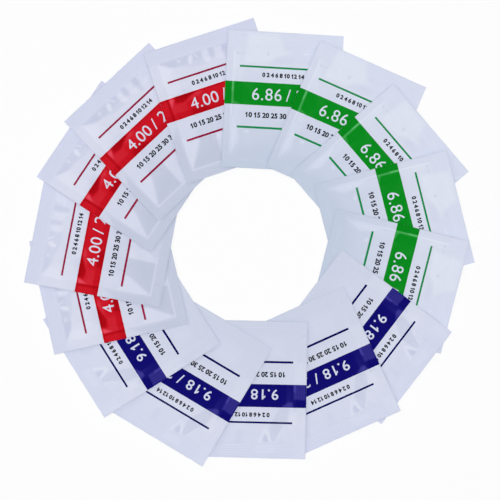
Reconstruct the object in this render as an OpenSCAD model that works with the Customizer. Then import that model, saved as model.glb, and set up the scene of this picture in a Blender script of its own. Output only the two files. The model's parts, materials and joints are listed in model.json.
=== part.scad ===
// Sealed powder sachets laid overlapping in a ring. Each sachet is a printed front film and a plain back film, sealed
// together along all four edges, with a charge of powder in the pocket between them. Every sachet leans on the one
// before it: its left edge is raised and its right side seal lies flat on the table.
// Millimetres. The origin is on the table, under the middle of the ring's outer box. +Y is the top of the ring.

/* [Sachet] */
// Cut width of a sachet
sachet_w = 60; // [54:1:64]
// Cut length of a sachet, which points outwards
sachet_l = 70.6; // [60:0.2:76]
// Thickness of one film
film_t = 0.1; // [0.08:0.01:0.15]

/* [Seals] */
// Width of each side seal
side_seal = 5; // [4:0.5:7]
// Width of the seal at the outer end
top_seal = 7.6; // [4:0.2:10]
// Width of the seal at the inner end
bottom_seal = 5; // [4:0.5:8]
// Gap between the pocket and the fold where the low side seal turns flat
fold_gap = 0.5; // [0.5:0.1:1]

/* [Filling] */
// Swell at the middle of a red sachet, front and back together
red_swell = 1.8; // [1:0.1:2]
// Swell at the middle of a green sachet, front and back together
green_swell = 1.3; // [0.8:0.1:1.6]
// Swell at the middle of a blue sachet, front and back together
blue_swell = 0.8; // [0.5:0.1:1.2]
// Share of the swell that is on the front
front_share = 0.7; // [0.6:0.05:0.75]
// Height of the lengthwise arch as a multiple of the swell, which shapes the pocket's ends
end_arch = 1.5; // [1.2:0.1:1.6]
// Share of the pocket's length that the powder fills, from the inner end
powder_fill = 0.9; // [0.5:0.05:1]
// Space between the powder and the films at the middle of the pocket
powder_gap = 0.05; // [0.03:0.01:0.1]

/* [Ring] */
// Distance from the middle of the ring to the middle of a sachet
ring_r = 75.3; // [74:0.1:84]
// Lean of a sachet on the one beneath it, in degrees
lean = 6; // [6:0.5:9]

/* [Hidden] */
// Every sachet, clockwise from the top of the ring: colour of its band, number, place round the ring in degrees
// from +X, step outwards from ring_r, own turn off the ring's radius in degrees, and further lean where it lies close
// over a full neighbour
LAID = [
    ["green", 1, 77, -1.5, 10, 0],
    ["green", 2, 50, 1.5, 16.5, 0],
    ["green", 3, 28, 0, 13, 0],
    ["green", 4, 7, -0.5, 7.5, 0],
    ["green", 5, -16, -1, 2, 0],
    ["blue", 1, -40.5, 0.5, 3.5, 0],
    ["blue", 2, -62, 1, -3.5, 0],
    ["blue", 3, -90.5, 1, -0.5, 0],
    ["blue", 4, -114.5, 2, -6, 0],
    ["blue", 5, -142.5, 1.5, -5, 0],
    ["red", 1, -163.5, 0.5, -3.5, 0],
    ["red", 2, -181, 0.5, -9.5, 2],
    ["red", 3, -211, -1, -2.5, 0],
    ["red", 4, -228.5, -0.5, 2, 1],
    ["red", 5, -258, -1.5, 6.5, 0],
];
PIECES = ["front_film", "back_film", "powder"];
SACHETS = [0 : len(LAID) - 1];

film_colour = [0.81, 0.84, 0.92];
back_colour = [0.84, 0.86, 0.92];
powder_colour = [0.97, 0.97, 0.96];

// Half sizes of the pocket between the seals, and the place of its middle along the sachet
pocket_half_w = sachet_w / 2 - side_seal;
pocket_half_l = (sachet_l - top_seal - bottom_seal) / 2;
pocket_middle = (bottom_seal - top_seal) / 2;

// Place of the fold across the sachet, and the width of film that slopes up from it
fold_u = pocket_half_w + fold_gap;
slope_w = fold_u + sachet_w / 2;

// Straight steps in each arch
arch_steps = 14;
// How far an arch of the film's outer face runs on inside the seal, short of the fold
arch_rim = 0.8 * fold_gap;
// Height inside the seal where that arch ends
arch_foot = film_t / 4;
// Depth of the pocket's cut below the seal's plane
cut_depth = 1;
// Width by which the powder stops short of the pocket's edge
powder_rim = 1;

function node_name(i, piece) = str(LAID[i][0], "_", LAID[i][1], "_", piece);
function swell(i) = LAID[i][0] == "red" ? red_swell : LAID[i][0] == "green" ? green_swell : blue_swell;
function front_rise(i) = swell(i) * front_share;
function back_rise(i) = swell(i) * (1 - front_share);
function lean_of(i) = lean + LAID[i][5];
function outward(i) = LAID[i][2] + LAID[i][4];
function towards(angle) = [cos(angle), sin(angle)];
function middle(i) = (ring_r + LAID[i][3]) * towards(LAID[i][2]);

// A sachet's four corners in plan, which give the ring's outer box
function corners(i) =
    let (left = fold_u - slope_w * cos(lean_of(i)))
    [for (u = [left, sachet_w / 2]) for (v = [-sachet_l / 2, sachet_l / 2])
        middle(i) + u * towards(outward(i) - 90) + v * towards(outward(i))];
all_corners = [for (i = SACHETS) each corners(i)];
corner_xs = [for (corner = all_corners) corner[0]];
corner_ys = [for (corner = all_corners) corner[1]];
box_middle = [min(corner_xs) + max(corner_xs), min(corner_ys) + max(corner_ys)] / 2;

// A point of the cross-section, a distance up the slope from the fold and a height above the seal's plane
function slope_point(angle, distance, height) = [
    fold_u - distance * cos(angle) + height * sin(angle),
    film_t + distance * sin(angle) + height * cos(angle),
];

// Cross-section of one film without its swell: sloping, then flat on the table beyond the fold
function film_outline(angle, thickness) = [
    slope_point(angle, slope_w, 0),
    [fold_u, film_t],
    [sachet_w / 2, film_t],
    [sachet_w / 2, film_t + thickness],
    [fold_u + thickness * tan(angle / 2), film_t + thickness],
    slope_point(angle, slope_w, thickness),
];

// Points of an arch that is rise high and crosses height 0 at half, drawn out to reach
function arch_points(half, rise, reach) =
    [for (k = [0 : arch_steps])
        let (x = reach * (2 * k / arch_steps - 1))
        [x, rise * (1 - pow(x / half, 2))]];
function raised(points, height) = [for (p = points) p + [0, height]];
function underside(points) = [for (k = [len(points) - 2 : -1 : 1]) points[k]];

// A cross-section drawn out along Y
module along_y(outline, length)
    rotate([90, 0, 0])
        linear_extrude(height = length, center = true)
            polygon(outline);

// The same along X
module along_x(outline, length)
    rotate([0, 0, 90])
        along_y(outline, length);

// Swollen outer face of a film's pocket, down to inside the seal
module outer_vault(rise) {
    function outline(half, height) =
        concat(
            [[half + arch_rim, arch_foot], [-half - arch_rim, arch_foot]],
            raised(arch_points(half, height, half + arch_rim), film_t)
        );
    intersection() {
        along_y(outline(pocket_half_w, rise), sachet_l);
        along_x(outline(pocket_half_l, rise * end_arch), sachet_w);
    }
}

// Hollow of the pocket under a film
module inner_vault(rise) {
    function outline(half, height) =
        concat([[half, -cut_depth], [-half, -cut_depth]], arch_points(half, height, half));
    intersection() {
        along_y(outline(pocket_half_w, rise), sachet_l);
        along_x(outline(pocket_half_l, rise * end_arch), sachet_w);
    }
}

// Puts the pocket's own frame on the slope, with its middle at the origin and the seal's plane at height 0
module on_slope(angle)
    translate([fold_u, pocket_middle, film_t])
        rotate([0, angle, 0])
            translate([-fold_u, 0, 0])
                children();

// One film: the sealed border and the swollen pocket. The back film is the front film's mirror in the seal's plane.
module film(angle, rise, is_back) {
    flip = is_back ? [0, 0, 1] : [0, 0, 0];
    difference() {
        union() {
            along_y(film_outline(angle, is_back ? -film_t : film_t), sachet_l);
            on_slope(angle)
                mirror(flip)
                    outer_vault(rise);
        }
        on_slope(angle)
            mirror(flip)
                inner_vault(rise);
    }
}

module front_film(i)
    color(film_colour)
        film(lean_of(i), front_rise(i), false);

module back_film(i)
    color(back_colour)
        film(lean_of(i), back_rise(i), true);

// The powder lies in the pocket from its inner end, a little clear of both films
module powder(i) {
    half_w = pocket_half_w - powder_rim;
    half_l = pocket_half_l - powder_rim;
    top = front_rise(i) - powder_gap;
    bottom = back_rise(i) - powder_gap;
    function outline(half, stretch) =
        concat(
            arch_points(half, top * stretch, half),
            underside(arch_points(half, -bottom * stretch, half))
        );
    color(powder_colour)
        on_slope(lean_of(i))
            intersection() {
                along_y(outline(half_w, 1), sachet_l);
                along_x(outline(half_l, end_arch), sachet_w);
                translate([-sachet_w / 2, -half_l, -sachet_l / 2])
                    cube([sachet_w, 2 * half_l * powder_fill, sachet_l]);
            }
}

// Lays a sachet in its place in the ring
module lay(i)
    translate(middle(i) - box_middle)
        rotate([0, 0, outward(i) - 90])
            children();

for (i = SACHETS) {
    lay(i) front_film(i);
    lay(i) back_film(i);
    lay(i) powder(i);
}
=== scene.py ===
"""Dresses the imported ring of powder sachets: printed and plain films with their seals, creases and print, the
powder inside, and a plain studio.

On a sachet, in millimetres, s runs across it to the right from its middle, and t along it outwards from the
line that its print is laid out from. h is a height above the plane where its two films meet, which leans and
turns flat round the fold beside the right seal.
"""
import json
import math
from dataclasses import dataclass, replace

import bpy
import numpy as np
from mathutils import Matrix, Vector
from mathutils.geometry import delaunay_2d_cdt, interpolate_bezier

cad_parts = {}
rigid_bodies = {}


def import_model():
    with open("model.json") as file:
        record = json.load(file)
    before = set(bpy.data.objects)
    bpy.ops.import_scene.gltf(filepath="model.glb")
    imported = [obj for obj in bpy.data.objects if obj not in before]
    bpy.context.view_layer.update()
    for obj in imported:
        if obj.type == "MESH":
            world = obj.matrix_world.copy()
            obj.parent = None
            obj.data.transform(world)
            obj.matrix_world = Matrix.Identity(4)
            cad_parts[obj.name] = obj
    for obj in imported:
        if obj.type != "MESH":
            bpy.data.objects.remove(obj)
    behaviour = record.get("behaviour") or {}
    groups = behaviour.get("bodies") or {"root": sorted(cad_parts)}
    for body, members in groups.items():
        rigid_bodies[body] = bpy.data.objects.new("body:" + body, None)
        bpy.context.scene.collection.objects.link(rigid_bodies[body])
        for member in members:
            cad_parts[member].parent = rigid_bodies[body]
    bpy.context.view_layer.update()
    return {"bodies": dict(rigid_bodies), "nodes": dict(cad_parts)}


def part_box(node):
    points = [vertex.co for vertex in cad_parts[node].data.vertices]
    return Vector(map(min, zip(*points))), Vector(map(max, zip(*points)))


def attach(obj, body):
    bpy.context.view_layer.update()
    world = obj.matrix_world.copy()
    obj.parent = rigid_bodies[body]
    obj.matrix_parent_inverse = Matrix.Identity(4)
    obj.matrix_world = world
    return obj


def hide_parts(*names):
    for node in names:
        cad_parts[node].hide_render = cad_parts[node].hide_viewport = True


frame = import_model()

MM = 0.001

# Sachet, in millimetres
SACHET_W = 60.0
SACHET_L = 70.6
FILM_T = 0.1
SIDE_SEAL = 5.0
OUTER_SEAL = 7.6
INNER_SEAL = 5.0
FOLD_GAP = 0.5
HALF_W = SACHET_W / 2
INNER_END = -35.0
OUTER_END = INNER_END + SACHET_L
MIDDLE = (INNER_END + OUTER_END) / 2
POCKET_S = HALF_W - SIDE_SEAL
POCKET_OUTER = OUTER_END - OUTER_SEAL
POCKET_INNER = INNER_END + INNER_SEAL
POCKET_MIDDLE = (POCKET_OUTER + POCKET_INNER) / 2
POCKET_HALF_L = (POCKET_OUTER - POCKET_INNER) / 2
FOLD = POCKET_S + FOLD_GAP
SLOPE_W = FOLD + HALF_W
# Half the width over which the film bends at the fold, and the points across the sachet that follow the bend
FOLD_BEND = 1.2
BEND_POINTS = 601
# Height of the pocket's lengthwise arch as a multiple of its swell, which shapes the pocket's ends
END_ARCH = 1.5

# Inks of a printed film, numbered as its materials are, and bare film, which the band's digits are
FILM, BAND_INK, RULE_INK, SMALL_INK, BARE = range(5)

# Print, in millimetres: the band and the rules as (low t, high t), and the line of numbers in the band
BAND = (-2.5, 9.3)
OUTER_RULE = (16.75, 17.75)
INNER_RULE = (-14.5, -13.4)
RULE_END = 23.0
BAND_BASE = 0.25
STROKE = "/"
STROKE_LEFT = 1.6
DEGREES = "25"
DEGREES_LEFT = 6.6
# Height of the built-in font's digits at size 1, and points along each of its curves in large and small ones
FONT_DIGIT_H = 0.69
LARGE_STEPS = 8
SMALL_STEPS = 6
# Points of an outline that are closer than this are one, and a side that is longer than this is cut
LEAST_APART = 0.02
MOST_APART = 0.4
# Limit on how far a sharp corner of a thickened digit runs out: 4 is a straight line, 0 a needle
LEAST_BLUNT = 1.0
# Flag of a 1, which the font has as a bare bar: points from the bar's left foot, in its widths and heights
FLAG = ((0.25, 1.0), (-0.3, 0.87), (-1.2, 0.79), (-1.2, 0.63), (-0.5, 0.68), (0.0, 0.75))

# Seals: pitch and height of the crimped lines, and how soon they start beyond the pocket
RIB_PITCH = 1.25
RIB_H = 0.03
RIB_START = 0.6
# Bead of film along the pocket's edge
BEAD_H = 0.03
BEAD_W = 0.4

# Gathers under the outer seal: their start and end along the sachet, half their slant and half their width
GATHER_TOP = 27.6
GATHER_FOOT = 22.6
GATHER_SLANT = 0.8
GATHER_W = 1.3
# Depths in the pocket between which creases rise, and shares of a fold's length between which it runs out
CREASE_FADE = (-0.5, 1.5)
FOLD_FADE = (0.5, 1.3)
# Low waves of the film: how many cross, their shortest and longest, their height, and how soon they rise
WAVE_COUNT = 7
WAVE_LENGTHS = (8, 24)
WAVE_H = 0.03
WAVE_RUN = 5.0
# How far the films' inner faces stand off the swell in the pocket, and how soon they do inside its edge
FRONT_SPARE = 0.12
BACK_SPARE = 0.06
SPARE_RUN = 3.0
# Powder: how far it stops short of the pocket's edge, the share of the rest that it fills lengthwise, the
# height of its grain, and its gap to the swell of the printed film, of which the plain film's is half
POWDER_RIM = 1.5
POWDER_FULL = 0.9
POWDER_GRAIN = 0.03
POWDER_GAP = 0.2

# Painted shading of the film, from 0, painted shade, to 1, painted light: that of plain level film, half the
# distance over which its slope is taken, the painted light and shade that a rib adds, the painted shadow that
# the cut edge adds, and how far in from the cut edge that shadow reaches
LEVEL_PAINTED_SHADING = 0.5
SLOPE_SHADING_STEP = 0.4
RIB_PAINTED_SHADING = 0.035
EDGE_PAINTED_SHADOW = -0.08
EDGE_W = 0.9

# Mesh, in millimetres: its steps, how far its points stay from a digit's outline, and when two are one
RIB_STEP = RIB_PITCH / 4
POCKET_STEP = 0.6
COARSE_STEP = 3.0
BACK_STEP = 1.8
POWDER_STEP = 1.6
DIGIT_CLEAR = 0.25
SAME_POINT = 1e-4
# Faces that meet at more than this angle show an edge
SHARP_ANGLE = math.radians(50)


@dataclass
class NumberLine:
    """A line of plain numbers: its left edge, the height of its digits, how far their strokes are thickened,
    how wide the digits and their spaces are, its base, its ink, and the points along each of the font's
    curves. The base, ink and points are the band's unless they are given."""

    words: str
    left: float
    height: float
    bold: float
    stretch: float = 1.0
    spacing: float = 1.0
    base: float = BAND_BASE
    ink: int = BARE
    steps: int = LARGE_STEPS


# Small print: a scale between the band and the outer rule, and temperatures between it and the inner rule
SCALE = NumberLine(
    "0 2 4 6 8 10 12 14", left=-11.2, height=2.0, bold=0.16, base=12.3, ink=SMALL_INK, steps=SMALL_STEPS
)
WARMTHS = replace(SCALE, words="10 15 20 25 30 35", left=-19.0, height=2.4, base=-8.7)


@dataclass
class Look:
    """What sets the sachets of one colour apart. Colours are sRGB from 0 to 255, and lengths are millimetres.

    The tints move the film's colour at its two ends, and an ink is (dark, middle, light): its colours where the
    film's painted shading is darkest, even and lightest. vault_share of the swell is a smooth vault, and the
    rest is flat facets, each of which climbs over its run from the pocket's edge. gathers holds their places
    across the sachet, folds holds (start, end, slope, width), creases holds (start, end, half width, height),
    and facets holds patches of painted light and painted shade as (strength, softness, corners), where the
    corners run anticlockwise round a convex patch.
    """

    digits: NumberLine
    inner_tint: tuple
    outer_tint: tuple
    band: tuple
    rule: tuple
    front_rise: float
    back_rise: float
    vault_share: float
    side_run: float
    inner_run: float
    outer_run: float
    edge_softness: float
    gathers: tuple
    gather_h: float
    folds: tuple
    creases: tuple
    # Patches of painted light and painted shade
    facets: tuple
    # Painted light where the film slopes to the sides and painted shade where it slopes to the ends, per unit
    # of slope
    slope_painted_shading: float
    seed: int


LOOKS = {
    "red": Look(
        digits=NumberLine("4.00", left=-15.3, height=5.8, stretch=1.02, spacing=1.03, bold=0.03),
        inner_tint=(0, -2, -2),
        outer_tint=(0, -2, 0),
        # Inks as (dark, middle, light): their colours under painted shade, even and under painted light
        band=((160, 0, 10), (203, 20, 36), (234, 80, 100)),
        rule=((126, 6, 50), (146, 18, 62), (178, 50, 92)),
        front_rise=1.26,
        back_rise=0.54,
        vault_share=0.25,
        side_run=7.7,
        inner_run=12,
        outer_run=4.5,
        edge_softness=0.04,
        gathers=(-14.4, -8.4, -0.6, 6.9, 13.6, 19.5),
        gather_h=0.3,
        folds=(
            ((-8.6, -31), (-7.8, -14), 0.14, 8),
        ),
        creases=(
            ((-25.5, 28.5), (-20, 24.6), 1.8, 0.28),
            ((-23.2, 9.6), (-23.6, 5.2), 1.5, 0.24),
            ((-23.3, -2.0), (-23.3, 2.0), 1.4, 0.2),
            ((-21.5, 7.6), (-10, 6.6), 2.6, 0.3),
            ((-7.5, -0.6), (-16, 0.4), 1.8, 0.18),
            ((-9, 10), (-8, 2.5), 2.4, 0.24),
        ),
        # Patches of painted light and painted shade on the film's facets, creases, seals and band
        facets=(
            # Between the band and the inner end
            (-0.16, 0.8, ((-24.3, -28.8), (-8.2, -28.8), (-8, -14.4), (-16.2, -14.4))),
            (0.09, 0.5, ((-25.4, -25), (-24.4, -28.6), (-17, -16), (-18, -13.5), (-25.4, -12.5))),
            (-0.1, 0.4, ((-11.5, -17.3), (-10.5, -17.3), (-10.5, -16.3), (-11.5, -16.3))),
            (-0.04, 1.0, ((-16.2, -13.2), (-8, -13.2), (-8, -9.2), (-15.4, -9.2))),
            (0.14, 0.7, ((-8, -28.4), (-5.5, -28.4), (2, -14.5), (-7.6, -14.5))),
            (0.22, 0.35, ((-25, -29.7), (-5, -29.7), (-5, -29.1), (-25, -29.1))),
            (-0.14, 1.0, ((-30, -35), (30, -35), (30, -30), (-30, -30))),
            (-0.18, 1.2, ((-30, -30), (-25.9, -30), (-25.9, -6), (-30, -12))),
            # On the band
            (0.3, 0.5, ((-24.9, 4), (-22.3, 9.2), (-25.5, 9.2))),
            (-0.3, 0.4, ((-26.4, -2.3), (-25.4, -2.3), (-25.5, 9.2), (-26.5, 9.2))),
            (-0.4, 0.6, ((-22.5, 6.5), (-18.5, 5.5), (-11, 9.2), (-21.8, 9.2))),
            (0.12, 0.6, ((-17.5, 5.2), (-8, 7.2), (-7, 9.2), (-10.5, 9.2))),
            (-0.22, 0.7, ((-15.5, -2.1), (-6, -2.1), (-7, -0.5), (-12, 1), (-15.5, 0.8))),
            (-0.3, 0.25, ((-30, 8.45), (30, 8.45), (30, 8.95), (-30, 8.95))),
            (-0.3, 0.25, ((-30, -2.15), (30, -2.15), (30, -1.65), (-30, -1.65))),
            (-0.14, 0.8, ((-30, -1.7), (30, -1.7), (30, 0.6), (-30, 0.6))),
            # Between the band and the outer end
            (-0.07, 0.8, ((-20.5, 9.4), (-12, 9.4), (-13, 12), (-19, 12))),
            (-0.13, 0.8, ((-24, 27.6), (-19, 24.4), (-7, 21), (-1.2, 20.8), (-1.2, 28))),
            (0.3, 0.6, ((-9.6, 23.4), (-8, 23), (-6.7, 25.6), (-6.8, 28), (-8, 27.7), (-9.4, 25.3))),
            (0.3, 0.35, ((-4.6, 25.2), (-3.8, 25.2), (-5.2, 28), (-6, 28))),
            (0.3, 0.35, ((-14.7, 25.7), (-13.6, 25.7), (-13.5, 27.1), (-14.6, 27.1))),
            (0.14, 0.7, ((-1.9, 24), (-0.9, 21.6), (1.6, 21.4), (1.9, 28), (-1.4, 28))),
            (-0.16, 0.6, ((2.3, 22.4), (4.2, 22), (4.6, 28), (2.2, 28))),
            (0.1, 0.7, ((4.9, 21.8), (8.6, 20.5), (9, 28), (5.1, 28))),
            (-0.18, 0.6, ((9.6, 20), (11.6, 19.5), (12.4, 27.6), (9.3, 27.6))),
            (0.08, 1.0, ((13.5, 22.5), (16, 22), (20, 28), (14, 28))),
            (0.05, 1.0, ((-26, 17), (-20, 17), (-19.5, 24), (-24.5, 27))),
            (-0.08, 1.5, ((-30, 28.5), (30, 28.5), (30, 40), (-30, 40))),
        ),
        slope_painted_shading=0.5,
        seed=4,
    ),
    "green": Look(
        digits=NumberLine("6.86", left=-16.3, height=6.1, stretch=0.97, spacing=1.09, bold=0.01),
        inner_tint=(-3, -1, -1),
        outer_tint=(1, 1, 2),
        # Inks as (dark, middle, light): their colours under painted shade, even and under painted light
        band=((0, 116, 10), (6, 137, 30), (110, 205, 130)),
        rule=((8, 122, 64), (22, 138, 78), (60, 162, 108)),
        front_rise=0.91,
        back_rise=0.39,
        vault_share=0.4,
        side_run=3.6,
        inner_run=19,
        outer_run=12,
        edge_softness=0.06,
        gathers=(-15, -6.5, 2.2, 9.5, 16),
        gather_h=0.16,
        folds=(),
        creases=(
            ((-24.6, -17), (-26, -28.5), 2, 0.24),
            ((-14, 28), (-9, 19), 2, 0.12),
            ((2, 28), (6, 18), 2.4, 0.12),
        ),
        # Patches of painted light and painted shade on the film's facets, creases, seals and band
        facets=(
            # Between the band and the inner end
            (
                0.12,
                0.4,
                ((-26.4, -8), (-26.3, -28.5), (-25.8, -28.5), (-21.6, -20.3), (-22.6, -16), (-25.4, -8)),
            ),
            (0.22, 0.5, ((-19, -16.8), (-16.8, -16.8), (-16.8, -15.5), (-19, -15.5))),
            (-0.04, 1.5, ((-22, -27), (30, -27), (30, -15), (-22, -15))),
            (0.04, 0.4, ((-21, -31.4), (-7, -31.4), (-7, -29.9), (-21, -29.9))),
            (0.2, 0.4, ((-26.6, -8), (-25.9, -8), (-25.8, -2.3), (-26.6, -2.3))),
            (-0.1, 5.0, ((-34, -40), (34, -40), (34, -26), (-34, -26))),
            # On the band
            (0.2, 0.35, ((-26.4, -2.3), (-25.4, -2.3), (-25.4, 9.2), (-26.4, 9.2))),
            (-0.07, 0.6, ((-25, -2.3), (-21.2, -2.3), (-21.2, 9.2), (-25, 9.2))),
            (0.2, 0.35, ((-26.6, 4), (-25.8, 5), (-25.8, 9.2), (-26.6, 9.2))),
            (0.12, 0.4, ((-25.5, -2.3), (-21.5, -2.3), (-23, -1.4), (-25.5, -0.6))),
            (-0.06, 0.5, ((-30, -2.3), (-26.6, -2.3), (-26.6, 9.2), (-30, 9.2))),
            # Between the band and the outer end
            (-0.04, 1.0, ((-25, 9.4), (-10, 9.4), (-10, 16.5), (-25, 16.5))),
            (0.14, 0.4, ((-26.4, 9.2), (-25.5, 9.2), (-25.2, 24), (-26.1, 26))),
            (0.14, 1.8, ((-20.8, 19.3), (-9, 19.3), (0.5, 25), (-3.5, 34.5), (-19, 34.5))),
            (0.04, 0.4, ((-6, 23.9), (-0.5, 23.6), (3.6, 25.2), (3.4, 25.8), (-6, 24.6))),
            (-0.06, 0.8, ((-8, 19.5), (5, 19.5), (5, 23.5), (-5, 22.5))),
            (0.15, 0.4, ((9.5, 24.5), (13, 25.2), (13, 25.8), (9.5, 25.1))),
            (-0.25, 0.4, ((-24.9, 23.2), (-23.9, 23.2), (-23.9, 24.4), (-24.9, 24.4))),
            (-0.16, 0.4, ((-22.4, 23.5), (-20.5, 23.5), (-20.5, 24.3), (-22.4, 24.3))),
            (-0.3, 0.4, ((-9.1, 23.3), (-8.2, 23.3), (-8.2, 25), (-9.1, 25))),
            # Along the left seal
            (-0.05, 0.8, ((-30, -27), (-26.8, -27), (-26.8, 27), (-30, 27))),
        ),
        slope_painted_shading=0.28,
        seed=6,
    ),
    "blue": Look(
        digits=NumberLine("9.18", left=-15.8, height=5.1, stretch=1.05, spacing=1.1, bold=0.08),
        inner_tint=(3, 1, 0),
        outer_tint=(-3, -4, -1),
        # Inks as (dark, middle, light): their colours under painted shade, even and under painted light
        band=((4, 0, 86), (12, 8, 107), (84, 80, 176)),
        rule=((0, 0, 68), (0, 0, 86), (30, 28, 116)),
        front_rise=0.56,
        back_rise=0.24,
        vault_share=0.5,
        side_run=6,
        inner_run=16,
        outer_run=14,
        edge_softness=0.06,
        gathers=(-20, -3.5, 8, 17),
        gather_h=0.12,
        folds=(),
        creases=(
            ((-18, 26), (-13, 6), 2.4, 0.24),
            ((-10, 25), (-15, 5), 2.2, 0.2),
            ((-20, 10), (-19, -4), 2, 0.16),
            ((6, 28), (2, 14), 2.6, 0.14),
        ),
        # Patches of painted light and painted shade on the film's facets, creases, seals and band
        facets=(
            # Between the band and the inner end
            (0.05, 2.5, ((-18, -28), (-6, -28), (-6, -17), (-18, -17))),
            (0.08, 1.2, ((-29.5, -14), (-24, -14), (-24, -2.3), (-29.5, -2.3))),
            # On the band
            (0.14, 0.4, ((-30, -2.3), (-23.6, -2.3), (-23.6, 5), (-30, 5.5))),
            (-0.06, 0.5, ((-30, 5.8), (-25, 5.4), (-24.6, 9.2), (-30, 9.2))),
            (0.2, 0.4, ((-24.4, -2.3), (-23.5, -2.3), (-23.5, 1), (-24.4, 1.5))),
            (0.2, 0.5, ((-22.8, 6.6), (-21, 6.6), (-17, 9.2), (-23.4, 9.2))),
            # Between the band and the outer end
            (
                -0.18,
                0.5,
                ((-21.6, 9.4), (-16.4, 9.4), (-11.4, 19), (-12.2, 26.5), (-14, 26.5), (-20.6, 15.5)),
            ),
            (0.12, 0.4, ((-19.6, 17.2), (-18.9, 17.2), (-14, 26.5), (-14.8, 26.5))),
            (0.05, 1.0, ((-26, 11.5), (-22.5, 11.5), (-20, 18), (-22, 20), (-26, 17))),
            (0.09, 0.4, ((-14.2, 22.4), (-13.2, 22.4), (-12.9, 25.6), (-13.6, 25.6))),
            (-0.14, 0.4, ((-25.1, 9.4), (-23.7, 9.4), (-24, 11.4), (-24.8, 11.4))),
            (-0.08, 1.0, ((2.5, 21.5), (5.5, 21.5), (6, 27.5), (3, 27.5))),
            (0.06, 1.2, ((-14, 29), (-4, 29), (-4, 33), (-14, 33))),
            (0.17, 0.4, ((-10.3, 21.3), (-9.3, 21.8), (-11.2, 27), (-12.4, 27))),
            (0.15, 0.5, ((-9.6, 20.3), (-8.2, 21), (-4.8, 28), (-6.8, 28))),
            (-0.24, 0.5, ((-10, 23.5), (-8.4, 23.5), (-7.6, 26), (-8.8, 27.2), (-10.6, 27))),
            (0.05, 1.5, ((-30, 26), (-24, 26), (-24, 35), (-30, 35))),
        ),
        slope_painted_shading=0.3,
        seed=9,
    ),
}
# Every body of the frame is one sachet, named by its colour and number
SACHETS = sorted(frame["bodies"])


def smooth(x, low, high):
    """Goes from 0 at low to 1 at high without a corner."""
    part = np.clip((x - low) / (high - low), 0, 1)
    return part * part * (3 - 2 * part)


def sachet_place(name):
    """A sachet's own axes as a matrix, and its lean, read from the corners and height of its CAD films."""
    plan = np.array([vertex.co.xy for vertex in frame["nodes"][f"{name}_front_film"].data.vertices]) / MM
    middle = (plan.min(0) + plan.max(0)) / 2
    reach = np.linalg.norm(plan - middle, axis=1)
    corner = plan[reach.argmax()]
    far_corners = plan[reach > reach.max() - FILM_T]
    apart = np.linalg.norm(far_corners - corner, axis=1)
    outward = Vector(far_corners[np.abs(apart - SACHET_L).argmin()] - corner).normalized()
    if outward.dot(Vector(middle)) < 0:
        outward.negate()
    right = Vector((outward.y, -outward.x))
    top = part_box(f"{name}_back_film")[1].z / MM
    lean = math.asin((top - FILM_T) / SLOPE_W)
    plan_w = HALF_W - FOLD + SLOPE_W * math.cos(lean)
    origin = Vector(middle) + right * (plan_w / 2 - HALF_W) - outward * MIDDLE
    axes = Matrix((
        (right.x, outward.x, 0, origin.x * MM),
        (right.y, outward.y, 0, origin.y * MM),
        (0, 0, 1, 0),
        (0, 0, 0, 1),
    ))
    return axes, lean


def bent(s, t, h, lean):
    """Points of the sachet as laid, in metres along its own axes."""
    steps = np.linspace(-HALF_W, HALF_W, BEND_POINTS)
    step = steps[1] - steps[0]
    slopes = lean * (1 - smooth(steps, FOLD - FOLD_BEND, FOLD + FOLD_BEND))
    runs = np.cumsum(np.cos(slopes)) * step
    falls = np.cumsum(np.sin(slopes)) * step
    slope = np.interp(s, steps, slopes)
    x = np.interp(s, steps, runs - runs[-1] + HALF_W) + h * np.sin(slope)
    z = np.interp(s, steps, falls[-1] - falls) + h * np.cos(slope) + FILM_T
    return np.column_stack((x, t, z)) * MM


def edge_distance(s, t):
    """Distance in from the nearest cut edge of the sachet."""
    return np.minimum(HALF_W - np.abs(s), np.minimum(t - INNER_END, OUTER_END - t))


def pocket_depth(s, t):
    """Distance in from the nearest edge of the pocket, negative in the seals."""
    return np.minimum(POCKET_S - np.abs(s), np.minimum(t - POCKET_INNER, POCKET_OUTER - t))


def vault(s, t):
    """Smooth swell of a full pocket, from 0 to 1."""
    across = 1 - (s / POCKET_S) ** 2
    along = END_ARCH * (1 - ((t - POCKET_MIDDLE) / POCKET_HALF_L) ** 2)
    return np.clip(np.minimum(across, along), 0, None)


def roof(s, t, look):
    """Creased swell of a stiff film: flat facets that rise from each edge and meet along hips."""
    soft = look.edge_softness
    sides = (
        (POCKET_S + s) / look.side_run,
        (POCKET_S - s) / look.side_run,
        (t - POCKET_INNER) / look.inner_run,
        (POCKET_OUTER - t) / look.outer_run,
        np.ones_like(s),
    )
    lowest = np.minimum.reduce(sides)
    spread = sum(np.exp((lowest - side) / soft) for side in sides)
    return np.clip(lowest - soft * np.log(spread), 0, None)


def pillow(s, t, look):
    """Swell of the printed film: part smooth vault, part creased roof."""
    return look.front_rise * (look.vault_share * vault(s, t) + (1 - look.vault_share) * roof(s, t, look))


def ribs(s, t):
    """Crimped lines of the seals, parallel to each edge and crossed at the corners."""
    sides = smooth(np.abs(s), POCKET_S, POCKET_S + RIB_START)
    outer = smooth(t, POCKET_OUTER, POCKET_OUTER + RIB_START)
    inner = smooth(-t, -POCKET_INNER, -POCKET_INNER + RIB_START)
    turn = 2 * math.pi / RIB_PITCH
    across = sides * np.cos(turn * (HALF_W - np.abs(s)))
    along = np.maximum(outer, inner) * np.cos(turn * np.minimum(t - INNER_END, OUTER_END - t))
    return RIB_H * np.clip(across + along, -1, 1)


def bead(s, t):
    """Thin raised line where the films part at the pocket's edge."""
    return BEAD_H * np.exp(-((pocket_depth(s, t) - BEAD_W / 2) / BEAD_W) ** 2)


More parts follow.
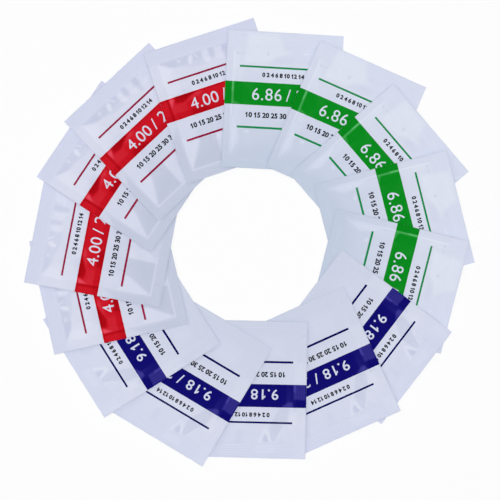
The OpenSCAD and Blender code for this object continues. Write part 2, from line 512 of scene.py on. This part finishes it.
def crease(s, t, start, end, width, height):
    """A pinched fold: full height at its start, running out to nothing at its end, with a sharp back."""
    step = np.subtract(end, start)
    share = np.clip(((s - start[0]) * step[0] + (t - start[1]) * step[1]) / step.dot(step), 0, 1)
    off = np.hypot(s - start[0] - share * step[0], t - start[1] - share * step[1])
    return height * (1 - share) * np.clip(1 - off / width, 0, None)


def fold(s, t, start, end, slope, width):
    """The film falls away to the right of a line, at slope for width, less towards the line's end."""
    step = np.subtract(end, start)
    length = math.hypot(*step)
    along = ((s - start[0]) * step[0] + (t - start[1]) * step[1]) / length
    right = ((s - start[0]) * step[1] - (t - start[1]) * step[0]) / length
    runs_out = smooth(along, FOLD_FADE[0] * length, FOLD_FADE[1] * length)
    return -slope * np.clip(right, 0, width) * (1 - runs_out)


def swell(s, t, look):
    """Height of the filled pocket, before its small creases."""
    folded = pillow(s, t, look) + sum(fold(s, t, *line) for line in look.folds)
    return np.clip(folded, 0, None)


def gather(place):
    """Start, end and half width of a short slanting crease under the outer seal."""
    return (place + GATHER_SLANT, GATHER_TOP), (place - GATHER_SLANT, GATHER_FOOT), GATHER_W


def creases(s, t, look):
    """Height of the creases and gathers, which start inside the pocket's edge."""
    gathers = [(*gather(place), look.gather_h) for place in look.gathers]
    pinched = sum(crease(s, t, *line) for line in (*look.creases, *gathers))
    return pinched * smooth(pocket_depth(s, t), *CREASE_FADE)


def waves(s, t, look):
    """Low uneven swells of the film over the powder."""
    draw = np.random.default_rng(look.seed)
    total = np.zeros_like(s)
    for _ in range(WAVE_COUNT):
        heading = draw.uniform(0, 2 * math.pi)
        length = draw.uniform(*WAVE_LENGTHS)
        phase = draw.uniform(0, 2 * math.pi)
        total += np.sin(2 * math.pi * (s * math.cos(heading) + t * math.sin(heading)) / length + phase)
    return WAVE_H * total * smooth(pocket_depth(s, t), 0, WAVE_RUN)


def front_inside(s, t, look):
    """Height of the printed film's inner face, a little below the swell over the powder."""
    spare = FRONT_SPARE * smooth(pocket_depth(s, t), 0, SPARE_RUN)
    return np.clip(swell(s, t, look) - spare, 0, None)


def relief(s, t, look):
    """Height of the printed film with its creases and waves, which nowhere cut into its inner face."""
    creased = swell(s, t, look) + creases(s, t, look) + waves(s, t, look)
    return np.maximum(creased, front_inside(s, t, look))


def front_outside(s, t, look):
    """Height of the printed film's outer face."""
    return FILM_T + relief(s, t, look) + bead(s, t) + ribs(s, t)


def back_outside(s, t, look):
    """Height of the plain film's outer face, below the plane where the films meet."""
    return -(FILM_T + look.back_rise * vault(s, t) + bead(s, t) / 2 + ribs(s, t))


def back_inside(s, t, look):
    """Height of the plain film's inner face, a little above the swell under the powder."""
    spare = BACK_SPARE * smooth(pocket_depth(s, t), 0, SPARE_RUN)
    return -np.clip(look.back_rise * vault(s, t) - spare, 0, None)


def facet(s, t, strength, soft, corners):
    """A patch of film with painted light, for a positive strength, or painted shade, for a negative one, with
    soft edges.
    """
    depth = np.full_like(s, np.inf)
    for (s0, t0), (s1, t1) in zip(corners, corners[1:] + corners[:1]):
        inwards = (s1 - s0) * (t - t0) - (t1 - t0) * (s - s0)
        depth = np.minimum(depth, inwards / math.hypot(s1 - s0, t1 - t0))
    return strength * smooth(depth, -soft, soft)


def painted_shading(s, t, look):
    """Painted light and shade of the printed film: painted light where it slopes to the sides and painted shade
    where it slopes to the ends, patches of painted light and shade, a painted shadow along the cut edge, and
    painted light and shade on the ribs.
    """
    to_side = relief(s + SLOPE_SHADING_STEP, t, look) - relief(s - SLOPE_SHADING_STEP, t, look)
    to_end = relief(s, t + SLOPE_SHADING_STEP, look) - relief(s, t - SLOPE_SHADING_STEP, look)
    painted_slope_shading = look.slope_painted_shading * (np.abs(to_side) - np.abs(to_end)) / (2 * SLOPE_SHADING_STEP)
    painted_patch_shading = sum(facet(s, t, *patch) for patch in look.facets)
    # A painted shadow along the cut edge
    painted_edge_shadow = EDGE_PAINTED_SHADOW * (1 - smooth(edge_distance(s, t), 0, EDGE_W))
    # Painted light on the crests of the ribs and painted shade between them
    return LEVEL_PAINTED_SHADING + painted_slope_shading + painted_patch_shading + painted_edge_shadow + RIB_PAINTED_SHADING * ribs(s, t) / RIB_H


def even_painted_shading(s, t):
    """The same painted shading all over: level, with neither painted light nor painted shade."""
    return np.full_like(s, LEVEL_PAINTED_SHADING)


def rectangle(left, right, span):
    """Corners of a rectangle between two places across the sachet and over a span along it."""
    return [(left, span[0]), (right, span[0]), (right, span[1]), (left, span[1])]


def anticlockwise(outline):
    """The outline run anticlockwise from its lowest point, where its left is its inside even if it crosses
    itself."""
    x, y = np.array(outline).T
    twice_area = (x * np.roll(y, -1) - np.roll(x, -1) * y).sum()
    ordered = outline if twice_area > 0 else outline[::-1]
    lowest = min(range(len(ordered)), key=lambda index: ordered[index][1])
    return ordered[lowest:] + ordered[:lowest]


def thickened(outline, bold):
    """An outline of the font with its sides moved out by bold. Its holes run the other way round, so they
    shrink."""
    points = np.array(outline)
    apart = np.linalg.norm(points - np.roll(points, 1, axis=0), axis=1)
    points = points[apart > LEAST_APART]
    sides = np.roll(points, -1, axis=0) - points
    square_out = np.column_stack((sides[:, 1], -sides[:, 0])) / np.linalg.norm(sides, axis=1)[:, None]
    corner_out = square_out + np.roll(square_out, 1, axis=0)
    bluntness = np.maximum((corner_out ** 2).sum(1), LEAST_BLUNT)
    moved = points + 2 * bold * corner_out / bluntness[:, None]
    return [tuple(point) for point in moved]


def divided(outline):
    """The outline with its long sides cut up, so that its points show where it runs."""
    points = []
    for start, end in zip(outline, outline[1:] + outline[:1]):
        pieces = math.ceil(math.dist(start, end) / MOST_APART)
        points += [tuple(point) for point in np.linspace(start, end, pieces, endpoint=False)]
    return points


def with_flag(bar):
    """The outline of a 1, made from its bar."""
    left, foot = np.min(bar, axis=0)
    right, top = np.max(bar, axis=0)
    flag = [(left + across * (right - left), foot + up * (top - foot)) for across, up in FLAG]
    return [(left, foot), (right, foot), (right, top), *flag]


def digit_outlines(line):
    """Outlines of a line of plain numbers, as lists of points on the film."""
    curve = bpy.data.curves.new("numbers", "FONT")
    curve.body = line.words
    curve.space_character = line.spacing
    text = bpy.data.objects.new("numbers", curve)
    bpy.context.scene.collection.objects.link(text)
    graph = bpy.context.evaluated_depsgraph_get()
    tall = line.height / FONT_DIGIT_H
    wide = line.stretch * tall
    outlines = []
    for spline in text.evaluated_get(graph).to_curve(graph).splines:
        knots = list(spline.bezier_points)
        outline = []
        for knot, after in zip(knots, knots[1:] + knots[:1]):
            way = interpolate_bezier(knot.co, knot.handle_right, after.handle_left, after.co, line.steps)
            outline += [(line.left + wide * point.x, line.base + tall * point.y) for point in way[:-1]]
        if line.words[spline.character_index] == "1":
            outline = with_flag(outline)
        outlines.append(anticlockwise(divided(thickened(outline, line.bold))))
    bpy.data.objects.remove(text)
    bpy.data.curves.remove(curve)
    return outlines


def printing(look):
    """Every outline of a colour's print, with the ink inside it."""
    prints = [
        (BAND_INK, rectangle(-HALF_W, HALF_W, BAND)),
        (RULE_INK, rectangle(-RULE_END, RULE_END, OUTER_RULE)),
        (RULE_INK, rectangle(-RULE_END, RULE_END, INNER_RULE)),
    ]
    stroke = replace(look.digits, words=STROKE, left=STROKE_LEFT)
    degrees = replace(look.digits, words=DEGREES, left=DEGREES_LEFT)
    for line in (look.digits, stroke, degrees, SCALE, WARMTHS):
        prints += [(line.ink, outline) for outline in digit_outlines(line)]
    return prints


def ink_inside(holders, prints):
    """The ink of a triangle: that of the last print it lies in. A digit's hole lies in two outlines of one
    ink, and the band's digits are bare film."""
    inks = [prints[holder][0] for holder in holders]
    inside = [ink for ink in set(inks) if inks.count(ink) % 2]
    last = max(inside, default=FILM)
    return FILM if last == BARE else last


def clear_of_digits(points, prints):
    """The points that aren't close to a digit's outline, where they would make slivers."""
    marks = [point for ink, outline in prints if ink in (SMALL_INK, BARE) for point in outline]
    if not marks:
        return points
    marks = np.array(marks)
    near = np.array([((marks - point) ** 2).sum(1).min() for point in points])
    return points[near > DIGIT_CLEAR * DIGIT_CLEAR]


def lines(stops, steps):
    """Places along one axis: the stops, with each stretch between them cut into about its own step."""
    stretches = [
        np.linspace(low, high, math.ceil((high - low) / step) + 1)[1:]
        for low, high, step in zip(stops, stops[1:], steps)
    ]
    return np.concatenate([[stops[0]], *stretches])


def even_lines(stops, step):
    """The stops, with every stretch between them cut into about one step."""
    return lines(stops, [step] * (len(stops) - 1))


def ribbed_lines(stops, step):
    """The same, but with the first and last stretch, which are seals, cut finely enough for their ribs."""
    return lines(stops, [RIB_STEP, *[step] * (len(stops) - 3), RIB_STEP])


# Edges of the seals, and lines of the printed film, the plain film and the films' inner faces
SEAL_S = (-HALF_W, -POCKET_S, POCKET_S, HALF_W)
SEAL_T = (INNER_END, POCKET_INNER, POCKET_OUTER, OUTER_END)
FRONT_S = ribbed_lines(sorted((*SEAL_S, -RULE_END, RULE_END)), POCKET_STEP)
FRONT_T = ribbed_lines(sorted((*SEAL_T, *INNER_RULE, *BAND, *OUTER_RULE)), POCKET_STEP)
BACK_S = ribbed_lines(SEAL_S, BACK_STEP)
BACK_T = ribbed_lines(SEAL_T, BACK_STEP)
COARSE_S = even_lines(SEAL_S, COARSE_STEP)
COARSE_T = even_lines(SEAL_T, COARSE_STEP)


def lattice(s_lines, t_lines):
    """Inner points of a lattice, and its border in order round it."""
    inner_s, inner_t = np.meshgrid(s_lines[1:-1], t_lines[1:-1])
    inner = np.column_stack((inner_s.ravel(), inner_t.ravel()))
    border = [(s, t_lines[0]) for s in s_lines[:-1]]
    border += [(s_lines[-1], t) for t in t_lines[:-1]]
    border += [(s, t_lines[-1]) for s in s_lines[:0:-1]]
    border += [(s_lines[0], t) for t in t_lines[:0:-1]]
    return inner, np.array(border)


@dataclass
class Face:
    """One face of a shell: its points with the border first, how many make the border, its triangles and
    their inks."""

    points: np.ndarray
    around: int
    triangles: list
    inks: list


# Number that tells the triangulation to fill everything inside the border
FILL_ALL = 0


def face_of(inner, border, prints=()):
    """The face with these points, cut into triangles along the outlines of its print."""
    given = np.concatenate((border, clear_of_digits(inner, prints)))
    places = [Vector(point) for point in given]
    outlines = []
    for _, outline in prints:
        outlines.append(list(range(len(places), len(places) + len(outline))))
        places += [Vector(point) for point in outline]
    found = delaunay_2d_cdt(places, [], outlines, FILL_ALL, SAME_POINT)
    points, _, triangles, sources, _, holders = found
    came_to = {source: index for index, group in enumerate(sources) for source in group}
    order = [came_to[index] for index in range(len(border))]
    order += sorted(set(range(len(points))) - set(order))
    renamed = {index: place for place, index in enumerate(order)}
    points = np.array([points[index] for index in order])
    triangles = [[renamed[index] for index in triangle] for triangle in triangles]
    inks = [ink_inside(held, prints) for held in holders]
    return Face(points, len(border), triangles, inks)


def give_attribute(mesh, name, values):
    """Gives every point of the mesh a value, which its materials read."""
    mesh.attributes.new(name, "FLOAT", "POINT").data.foreach_set("value", values.astype(np.float32))


def shell_mesh(name, outer, inner, heights, lean, is_back=False, painted_shadings=even_painted_shading):
    """A closed thin solid between two faces that share their border in plan."""
    count = len(outer.points)
    around = outer.around
    faces = list(outer.triangles)
    faces += [[count + index for index in reversed(triangle)] for triangle in inner.triangles]
    faces += [[a, count + a, count + b, b] for a, b in zip(range(around), [*range(1, around), 0])]
    inks = outer.inks + inner.inks + [FILM] * around
    if is_back:
        faces = [list(reversed(face)) for face in faces]
    s, t = np.concatenate((outer.points, inner.points)).T
    places = bent(s, t, np.concatenate(heights), lean)
    mesh = bpy.data.meshes.new(name)
    mesh.from_pydata(places.tolist(), [], faces)
    mesh.polygons.foreach_set("material_index", inks)
    give_attribute(mesh, "along", (t - INNER_END) / SACHET_L)
    # Painted light and shade at every point, which the materials read
    give_attribute(mesh, "painted_shading", painted_shadings(s, t))
    mesh.shade_smooth()
    mesh.set_sharp_from_angle(angle=SHARP_ANGLE)
    return mesh


def film_faces(s_lines, t_lines, prints=()):
    """The fine outer and the coarse inner face of a film."""
    inner, border = lattice(s_lines, t_lines)
    coarse_inner, _ = lattice(COARSE_S, COARSE_T)
    return face_of(inner, border, prints), face_of(coarse_inner, border)


def front_mesh(name, faces, look, lean):
    """The printed film of a sachet."""
    outer, inner = faces
    heights = [front_outside(*outer.points.T, look), front_inside(*inner.points.T, look)]
    return shell_mesh(name, outer, inner, heights, lean, painted_shadings=lambda s, t: painted_shading(s, t, look))


def back_mesh(name, faces, look, lean):
    """The plain film of a sachet."""
    outer, inner = faces
    heights = [back_outside(*outer.points.T, look), back_inside(*inner.points.T, look)]
    return shell_mesh(name, outer, inner, heights, lean, is_back=True)


def powder_mesh(name, look, lean):
    """The charge of powder: a flat uneven heap that fills the pocket from its inner end."""
    half_l = POCKET_HALF_L - POWDER_RIM
    low = POCKET_MIDDLE - half_l
    half_w = POCKET_S - POWDER_RIM
    s_lines = even_lines((-half_w, half_w), POWDER_STEP)
    t_lines = even_lines((low, low + 2 * half_l * POWDER_FULL), POWDER_STEP)
    inner, border = lattice(s_lines, t_lines)
    face = face_of(inner, border)
    s, t = face.points.T
    draw = np.random.default_rng(look.seed)
    grain = draw.uniform(0, POWDER_GRAIN, (2, len(s)))
    top = np.clip(swell(s, t, look) - POWDER_GAP, 0, None) + grain[0]
    bottom = -np.clip(look.back_rise * vault(s, t) - POWDER_GAP / 2, 0, None) - grain[1]
    return shell_mesh(name, face, face, [top, bottom], lean)


# Highest value of a channel in an sRGB colour
FULL_CHANNEL = 255


def linear(colour):
    """An sRGB colour as the linear values that a shader takes, by the sRGB standard's own curve."""
    shares = [channel / FULL_CHANNEL for channel in colour]
    return (*(x / 12.92 if x <= 0.04045 else ((x + 0.055) / 1.055) ** 2.4 for x in shares), 1)


# Places of the share and the two colours among a mix node's inputs, and of the mixed colour among its outputs
MIX_SHARE = 0
MIX_FIRST = 6
MIX_SECOND = 7
MIX_COLOUR = 2


@dataclass
class Noise:
    """Uneven values over a surface, from low to high, in a pattern of this scale per metre and detail."""

    scale: float
    low: float
    high: float
    detail: float = 3.0


@dataclass
class Finish:
    """Fine look of a surface: its gloss, its uneven roughness, and the scale, detail, strength and depth in
    metres of its grain."""

    gloss: float
    roughness: Noise
    grain_scale: float
    grain_detail: float
    grain_strength: float
    grain_depth: float


def add_node(tree, kind, inputs=None, **settings):
    """A new node with these settings, and with a value or a link at each of the given inputs."""
    made = tree.nodes.new(kind)
    for setting, value in settings.items():
        setattr(made, setting, value)
    for socket, value in (inputs or {}).items():
        if isinstance(value, bpy.types.NodeSocket):
            tree.links.new(value, made.inputs[socket])
        else:
            made.inputs[socket].default_value = value
    return made


class Shader:
    """A material under construction, with its Principled shader."""

    def __init__(self, name):
        self.material = bpy.data.materials.new(name)
        self.material.use_nodes = True
        self.tree = self.material.node_tree
        self.surface = self.tree.nodes["Principled BSDF"]

    def node(self, kind, inputs=None, **settings):
        """A new node of the material."""
        return add_node(self.tree, kind, inputs, **settings)

    def feed(self, socket, output):
        """Links an output to an input of the Principled shader."""
        self.tree.links.new(output, self.surface.inputs[socket])

    def pattern(self, scale, detail):
        """A cloudy pattern through the piece, from 0 to 1."""
        place = self.node("ShaderNodeTexCoord").outputs["Object"]
        made = self.node("ShaderNodeTexNoise", {"Vector": place, "Scale": scale, "Detail": detail})
        return made.outputs["Fac"]

    def attribute(self, name):
        """A value that the mesh holds at every point."""
        return self.node("ShaderNodeAttribute", attribute_name=name).outputs["Fac"]

    def ranged(self, value, low, high):
        """A value from 0 to 1, moved to run from low to high."""
        inputs = {"Value": value, "To Min": low, "To Max": high}
        return self.node("ShaderNodeMapRange", inputs).outputs["Result"]

    def uneven(self, noise):
        """The uneven values that the noise describes."""
        return self.ranged(self.pattern(noise.scale, noise.detail), noise.low, noise.high)

    def mixed(self, share, first, second):
        """The first colour with this share of the second."""
        inputs = {MIX_SHARE: share, MIX_FIRST: first, MIX_SECOND: second}
        return self.node("ShaderNodeMix", inputs, data_type="RGBA").outputs[MIX_COLOUR]

    def ramp(self, share, stops):
        """The colour at this share of the way through the stops, which are (place, colour) from 0 to 1."""
        made = self.node("ShaderNodeValToRGB", {"Fac": share})
        elements = made.color_ramp.elements
        for place, _ in stops[1:-1]:
            elements.new(place)
        for element, (place, colour) in zip(elements, stops):
            element.position = place
            element.color = linear(colour)
        return made.outputs["Color"]

    def give_finish(self, finish):
        """Sets the gloss and links the roughness and the grain."""
        self.surface.inputs["Specular IOR Level"].default_value = finish.gloss
        self.feed("Roughness", self.uneven(finish.roughness))
        grain = self.pattern(finish.grain_scale, finish.grain_detail)
        inputs = {"Height": grain, "Strength": finish.grain_strength, "Distance": finish.grain_depth}
        self.feed("Normal", self.node("ShaderNodeBump", inputs).outputs["Normal"])


# Film: its colours from the inner to the outer end, as (share of the length, colour), under painted shade and
# under painted light, darker towards the inner end as a painted shade, and its clouding
FRONT_SHADED = (
    (0.0, (171, 183, 205)),
    (0.5, (179, 187, 208)),
    (0.75, (187, 194, 219)),
    (1.0, (185, 193, 222)),
)
FRONT_LIT = (
    (0.0, (228, 234, 251)),
    (0.5, (236, 240, 255)),
    (0.75, (242, 246, 255)),
    (1.0, (241, 245, 255)),
)
BACK_SHADED = ((0.0, (190, 196, 210)), (1.0, (198, 204, 218)))
BACK_LIT = ((0.0, (226, 230, 242)), (1.0, (234, 238, 250)))
CLOUD_COLOUR = (196, 204, 224)
CLOUDS = Noise(scale=55, low=0, high=0.1)
FILM_FINISH = Finish(
    gloss=0.5,
    roughness=Noise(scale=240, low=0.24, high=0.36),
    grain_scale=1400,
    grain_detail=2,
    grain_strength=0.12,
    grain_depth=0.00004,
)


def film_material(name, shaded_stops, lit_stops):
    """Pearly white film: a little bluer and darker towards the inner end, a painted shade, and lighter or
    greyer by its painted light and shade.
    """
    shader = Shader(name)
    along = shader.attribute("along")
    dark = shader.ramp(along, shaded_stops)
    light = shader.ramp(along, lit_stops)
    shade = shader.mixed(shader.attribute("painted_shading"), dark, light)
    shader.feed("Base Color", shader.mixed(shader.uneven(CLOUDS), shade, linear(CLOUD_COLOUR)))
    shader.give_finish(FILM_FINISH)
    return shader.material


# Ink: the colours of the small print under painted shade, even and under painted light, how the share of its
# dark colour varies, and its finish
SMALL_PRINT = ((12, 12, 22), (22, 22, 34), (60, 60, 76))
INK_DENSITY = Noise(scale=90, low=-0.1, high=0.2)
INK_ROUGHNESS = Noise(scale=300, low=0.24, high=0.36)
INK_FINISH = replace(FILM_FINISH, gloss=0.05, roughness=INK_ROUGHNESS, grain_strength=0.1)


def ink_material(name, dark, middle, light):
    """Printed ink: lighter or darker by the film's painted light and shade, of uneven density, with a slightly
    broken sheen.
    """
    shader = Shader(name)
    shade = shader.ramp(shader.attribute("painted_shading"), ((0.0, dark), (LEVEL_PAINTED_SHADING, middle), (1.0, light)))
    shader.feed("Base Color", shader.mixed(shader.uneven(INK_DENSITY), shade, linear(dark)))
    shader.give_finish(INK_FINISH)
    return shader.material


# Powder: its own colour, that of its clumps and how strong they are, and its finish
POWDER_COLOUR = (248, 248, 246)
CLUMP_COLOUR = (226, 226, 222)
CLUMPS = Noise(scale=700, low=0, high=0.5, detail=5)
POWDER_FINISH = Finish(
    gloss=0.1,
    roughness=Noise(scale=900, low=0.85, high=1.0),
    grain_scale=3000,
    grain_detail=4,
    grain_strength=0.5,
    grain_depth=0.0002,
)


def powder_material():
    """Fine dry white powder: matt, with clumps."""
    shader = Shader("buffer_powder")
    clumps = shader.uneven(CLUMPS)
    shader.feed("Base Color", shader.mixed(clumps, linear(POWDER_COLOUR), linear(CLUMP_COLOUR)))
    shader.give_finish(POWDER_FINISH)
    return shader.material


plain_film = film_material("plain_film", BACK_SHADED, BACK_LIT)
small_ink = ink_material("small_print_ink", *SMALL_PRINT)
buffer_powder = powder_material()


def tinted(stops, look):
    """The stops of a ramp from the inner to the outer end, with each colour moved by the look's tints."""
    ends = np.array((look.inner_tint, look.outer_tint))
    moves = [np.average(ends, axis=0, weights=(1 - place, place)) for place, _ in stops]
    return [(place, np.clip(colour + move, 0, FULL_CHANNEL)) for (place, colour), move in zip(stops, moves)]


def inks_of(colour, look):
    """The materials of a printed film, in the order of the ink numbers."""
    film = film_material(f"{colour}_printed_film", tinted(FRONT_SHADED, look), tinted(FRONT_LIT, look))
    band = ink_material(f"{colour}_band_ink", *look.band)
    rule = ink_material(f"{colour}_rule_ink", *look.rule)
    return film, band, rule, small_ink


def piece(mesh, materials, body, node):
    """A finished piece that moves with its sachet and stands for one CAD node."""
    for material in materials:
        mesh.materials.append(material)
    made = bpy.data.objects.new(mesh.name, mesh)
    bpy.context.scene.collection.objects.link(made)
    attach(made, body)
    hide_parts(node)
    return made


back_faces = film_faces(BACK_S, BACK_T)


def make_sachet(name, look, front_faces, inks):
    """The two films and the powder of one sachet, laid in its place in the ring."""
    axes, lean = sachet_place(name)
    printed = front_mesh(f"{name}_front", front_faces, look, lean)
    plain = back_mesh(f"{name}_back", back_faces, look, lean)
    heap = powder_mesh(f"{name}_fill", look, lean)
    for mesh in (printed, plain, heap):
        mesh.transform(axes)
    front = piece(printed, inks, name, f"{name}_front_film")
    back = piece(plain, [plain_film], name, f"{name}_back_film")
    fill = piece(heap, [buffer_powder], name, f"{name}_powder")


for colour, look in LOOKS.items():
    front_faces = film_faces(FRONT_S, FRONT_T, printing(look))
    inks = inks_of(colour, look)
    for sachet in [name for name in SACHETS if name.startswith(colour)]:
        make_sachet(sachet, look, front_faces, inks)


# Studio, in metres: the floor, the share of its brightness that is its own, and the even light's strength
FLOOR_SIZE = 6.0
FLOOR_DROP = 0.0004
FLOOR_GLOW = 0.7
EVEN_LIGHT = 0.16
WHITE = (1, 1, 1, 1)
# Paper of the floor: its roughness and gloss, and its two tints and how they vary
PAPER_ROUGHNESS = 0.9
PAPER_GLOSS = 0.0
PAPER_TINTS = ((252, 252, 252), (254, 254, 254))
PAPER_CLOUDS = Noise(scale=3, low=0, high=1)
# Ring of small lamps: how many, their distance from the middle and height, and the first one's degrees
RING_LAMPS = 6
RING_R = 0.75
RING_HEIGHT = 1.4
RING_START = 30


def background_rays(tree):
    """1 for the rays that show the white background: from the camera, mirrored or let through. Else 0."""
    rays = add_node(tree, "ShaderNodeLightPath").outputs
    seen = rays["Is Camera Ray"]
    for kind in ("Is Glossy Ray", "Is Transmission Ray"):
        seen = add_node(tree, "ShaderNodeMath", {0: seen, 1: rays[kind]}, operation="MAXIMUM").outputs[0]
    return seen


def floor_material():
    """White paper: most of its brightness is its own as the camera and reflections see it, so shadows stay
    soft."""
    shader = Shader("white_paper")
    shader.surface.inputs["Roughness"].default_value = PAPER_ROUGHNESS
    shader.surface.inputs["Specular IOR Level"].default_value = PAPER_GLOSS
    tints = [linear(tint) for tint in PAPER_TINTS]
    shader.feed("Base Color", shader.mixed(shader.uneven(PAPER_CLOUDS), *tints))
    share = shader.ranged(background_rays(shader.tree), 0, FLOOR_GLOW)
    glow = shader.node("ShaderNodeEmission", {"Color": WHITE, "Strength": 1.0}).outputs[0]
    blend = shader.node("ShaderNodeMixShader", {0: share, 1: shader.surface.outputs[0], 2: glow}).outputs[0]
    shader.tree.links.new(blend, shader.tree.nodes["Material Output"].inputs["Surface"])
    return shader.material


def make_floor():
    """A level sheet of paper just under the ring."""
    half = FLOOR_SIZE / 2
    mesh = bpy.data.meshes.new("floor")
    corners = [(x, y, -FLOOR_DROP) for x, y in ((-half, -half), (half, -half), (half, half), (-half, half))]
    mesh.from_pydata(corners, [], [(0, 1, 2, 3)])
    mesh.materials.append(floor_material())
    floor = bpy.data.objects.new("floor", mesh)
    bpy.context.scene.collection.objects.link(floor)


def lamp(name, place, size, share, in_gloss=True):
    """A soft round lamp aimed at the middle of the ring, which lights level white paper there to this
    share of white."""
    far = Vector(place).length
    light = bpy.data.lights.new(name, "AREA")
    light.shape = "DISK"
    light.size = size
    light.energy = share * math.pi ** 2 * far ** 3 / place[2]
    made = bpy.data.objects.new(name, light)
    made.location = place
    made.rotation_euler = Vector(place).to_track_quat("Z", "Y").to_euler()
    made.visible_glossy = in_gloss
    bpy.context.scene.collection.objects.link(made)


def make_lamps():
    """A strong lamp overhead that doesn't show in the gloss, a weak key lamp, and a ring of weaker ones."""
    lamp("overhead", place=(0.0, 0.0, 1.8), size=0.35, share=0.715, in_gloss=False)
    lamp("key", place=(-0.8, 0.6, 1.4), size=0.4, share=0.04)
    for number in range(RING_LAMPS):
        turn = math.radians(RING_START + 360 / RING_LAMPS * number)
        place = (RING_R * math.cos(turn), RING_R * math.sin(turn), RING_HEIGHT)
        lamp(f"ring_{number}", place, size=0.25, share=0.01)


def make_world():
    """Even white light, which the camera and reflections see as plain white."""
    world = bpy.data.worlds.new("studio")
    world.use_nodes = True
    tree = world.node_tree
    background = tree.nodes["Background"]
    background.inputs["Color"].default_value = WHITE
    inputs = {"Value": background_rays(tree), "To Min": EVEN_LIGHT, "To Max": 1.0}
    level = add_node(tree, "ShaderNodeMapRange", inputs)
    tree.links.new(level.outputs["Result"], background.inputs["Strength"])
    bpy.context.scene.world = world


# Camera: straight above, with the frame's width as seen at the height of the sachets' tops
LENS = 200.0
SENSOR = 36.0
VIEW_W = 0.2573
VIEW_PLANE = 0.003
VIEW_MIDDLE = (0.0, -0.0043)


def make_camera():
    """A long lens straight above the ring."""
    data = bpy.data.cameras.new("camera")
    data.lens = LENS
    data.sensor_width = SENSOR
    camera = bpy.data.objects.new("camera", data)
    camera.location = (*VIEW_MIDDLE, VIEW_PLANE + VIEW_W * LENS / SENSOR)
    bpy.context.scene.collection.objects.link(camera)
    bpy.context.scene.camera = camera


make_floor()
make_lamps()
make_world()
make_camera()
bpy.context.scene.view_settings.view_transform = "Standard"
